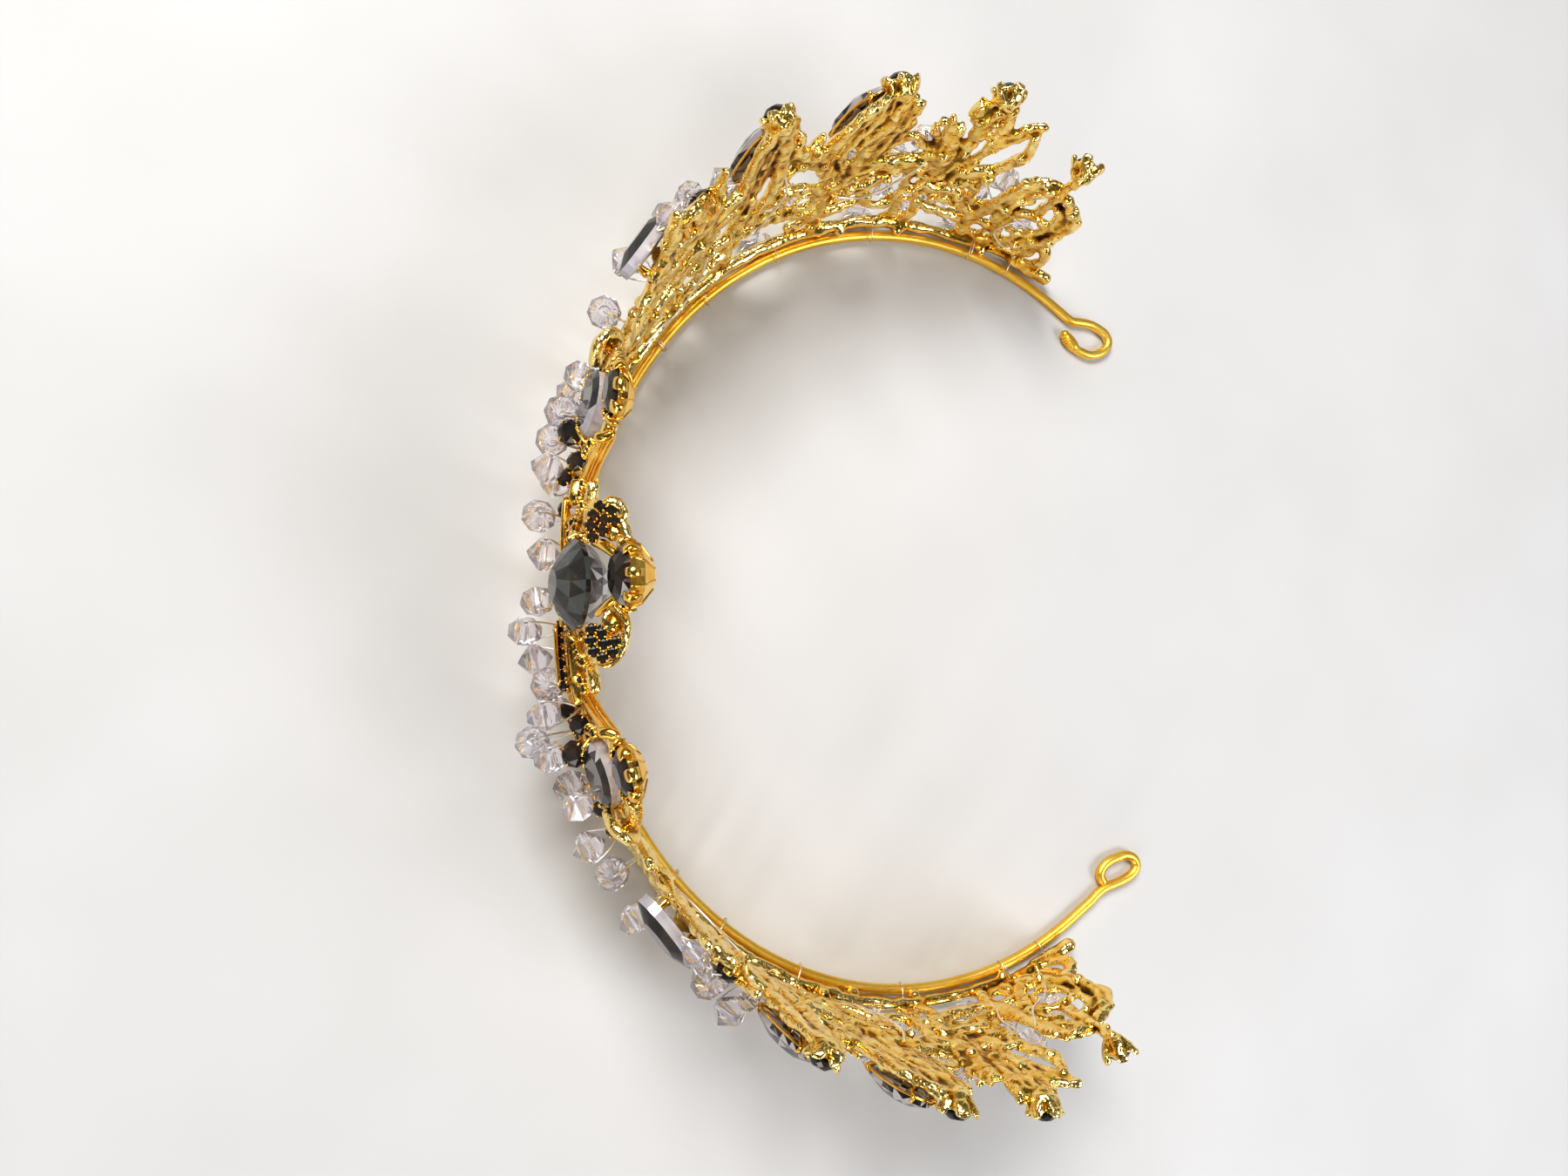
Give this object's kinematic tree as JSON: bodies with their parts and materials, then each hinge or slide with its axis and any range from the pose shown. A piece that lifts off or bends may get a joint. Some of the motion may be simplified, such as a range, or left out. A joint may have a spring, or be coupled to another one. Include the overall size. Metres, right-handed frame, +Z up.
{
  "type": "tiara",
  "caption": "Gilt wire tiara with openwork cast leaf and scroll wall, dark faceted stones in cup settings and clear crystal beads on fine wire stems.",
  "frame": {"origin": "middle of the bounding box, on the surface that the tiara stands on", "axes": "+X to the wearer's right as seen from the front (image down in the picture), -Y the front with the centre stone, +Z up; the open ends point to +Y"},
  "size_m": [0.1588, 0.1214, 0.0566],
  "materials": {
    "gilt_band": "satin gold plating",
    "gilt_casting": "bright gold plating on a rough cast back, darker in the recesses",
    "dark_stone": "smoky black faceted glass, polished",
    "crystal": "clear faceted crystal, polished",
    "fine_wire": "pale bright wire"
  },
  "bodies": {
    "root": {"band": "gilt_band", "bead_01": "crystal", "bead_02": "crystal", "bead_03": "crystal", "bead_04": "crystal", "bead_05": "crystal", "bead_06": "crystal", "bead_07": "crystal", "bead_08": "crystal", "bead_09": "crystal", "bead_10": "crystal", "bead_11": "crystal", "bead_12": "crystal", "bead_13": "crystal", "bead_14": "crystal", "bead_15": "crystal", "bead_16": "crystal", "bead_17": "crystal", "bead_18": "crystal", "bead_19": "crystal", "bead_20": "crystal", "bead_21": "crystal", "bead_22": "crystal", "bead_23": "crystal", "bead_24": "crystal", "bead_25": "crystal", "bead_26": "crystal", "bead_27": "crystal", "bead_28": "crystal", "bead_29": "crystal", "casting_centre": "gilt_casting", "casting_flank_left": "gilt_casting", "casting_flank_right": "gilt_casting", "casting_wing_left": "gilt_casting", "casting_wing_right": "gilt_casting", "stone_centre": "dark_stone", "stone_crest": "dark_stone", "stone_end_round_left": "dark_stone", "stone_end_round_right": "dark_stone", "stone_first_navette_left": "dark_stone", "stone_first_navette_right": "dark_stone", "stone_first_round_left": "dark_stone", "stone_first_round_right": "dark_stone", "stone_flank_oval_left": "dark_stone", "stone_flank_oval_right": "dark_stone", "stone_flank_round_left": "dark_stone", "stone_flank_round_right": "dark_stone", "stone_second_navette_left": "dark_stone", "stone_second_navette_right": "dark_stone", "stone_second_round_left": "dark_stone", "stone_second_round_right": "dark_stone", "stone_shoulder_navette_left": "dark_stone", "stone_shoulder_navette_right": "dark_stone", "stone_third_round_left": "dark_stone", "stone_third_round_right": "dark_stone"}
  },
  "joints": []
}
